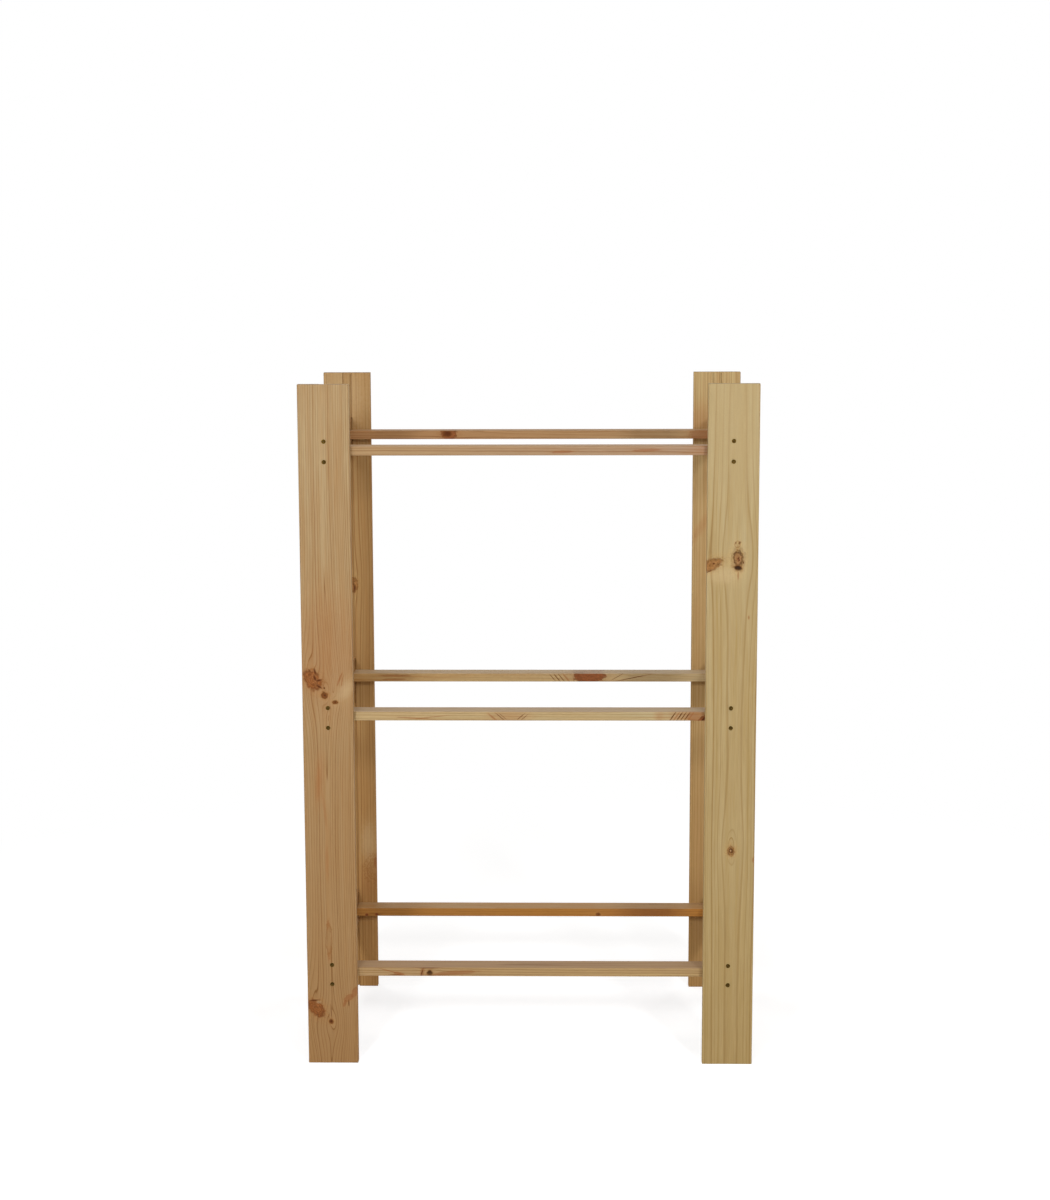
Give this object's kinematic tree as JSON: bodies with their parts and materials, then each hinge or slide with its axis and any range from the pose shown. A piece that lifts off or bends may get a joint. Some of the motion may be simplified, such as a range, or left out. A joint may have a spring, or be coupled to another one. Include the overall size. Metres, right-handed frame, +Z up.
{
  "type": "beverage crate rack",
  "caption": "Open pine rack with grooved corner posts, side crosspieces and front and rear rails that carry beverage crates on stacked levels.",
  "frame": {"origin": "on the floor, under the middle of the rack", "axes": "+Z up along the posts, +X to the right along the rails, -Y out of the front"},
  "size_m": [0.85, 0.474, 1.3],
  "materials": {
    "post_pine": "planed pine, clear satin lacquer, warm honey tone with brown knots",
    "crosspiece_pine": "planed pine, clear satin lacquer",
    "rail_pine": "planed pine, clear satin lacquer, red-brown knots",
    "screw_steel": "steel, yellow zinc plated"
  },
  "bodies": {
    "root": {"front_left_post": "post_pine", "front_right_post": "post_pine", "rear_left_post": "post_pine", "rear_right_post": "post_pine", "left_bottom_crosspiece": "crosspiece_pine", "left_middle_crosspiece": "crosspiece_pine", "left_top_crosspiece": "crosspiece_pine", "right_bottom_crosspiece": "crosspiece_pine", "right_middle_crosspiece": "crosspiece_pine", "right_top_crosspiece": "crosspiece_pine", "front_bottom_rail": "rail_pine", "front_middle_rail": "rail_pine", "front_top_rail": "rail_pine", "rear_bottom_rail": "rail_pine", "rear_middle_rail": "rail_pine", "rear_top_rail": "rail_pine", "front_left_bottom_lower_post_screw": "screw_steel", "front_left_bottom_upper_post_screw": "screw_steel", "front_left_middle_lower_post_screw": "screw_steel", "front_left_middle_upper_post_screw": "screw_steel", "front_left_top_lower_post_screw": "screw_steel", "front_left_top_upper_post_screw": "screw_steel", "front_right_bottom_lower_post_screw": "screw_steel", "front_right_bottom_upper_post_screw": "screw_steel", "front_right_middle_lower_post_screw": "screw_steel", "front_right_middle_upper_post_screw": "screw_steel", "front_right_top_lower_post_screw": "screw_steel", "front_right_top_upper_post_screw": "screw_steel", "rear_left_bottom_lower_post_screw": "screw_steel", "rear_left_bottom_upper_post_screw": "screw_steel", "rear_left_middle_lower_post_screw": "screw_steel", "rear_left_middle_upper_post_screw": "screw_steel", "rear_left_top_lower_post_screw": "screw_steel", "rear_left_top_upper_post_screw": "screw_steel", "rear_right_bottom_lower_post_screw": "screw_steel", "rear_right_bottom_upper_post_screw": "screw_steel", "rear_right_middle_lower_post_screw": "screw_steel", "rear_right_middle_upper_post_screw": "screw_steel", "rear_right_top_lower_post_screw": "screw_steel", "rear_right_top_upper_post_screw": "screw_steel", "front_left_bottom_rail_screw": "screw_steel", "front_left_middle_rail_screw": "screw_steel", "front_left_top_rail_screw": "screw_steel", "front_right_bottom_rail_screw": "screw_steel", "front_right_middle_rail_screw": "screw_steel", "front_right_top_rail_screw": "screw_steel", "rear_left_bottom_rail_screw": "screw_steel", "rear_left_middle_rail_screw": "screw_steel", "rear_left_top_rail_screw": "screw_steel", "rear_right_bottom_rail_screw": "screw_steel", "rear_right_middle_rail_screw": "screw_steel", "rear_right_top_rail_screw": "screw_steel"}
  },
  "joints": []
}
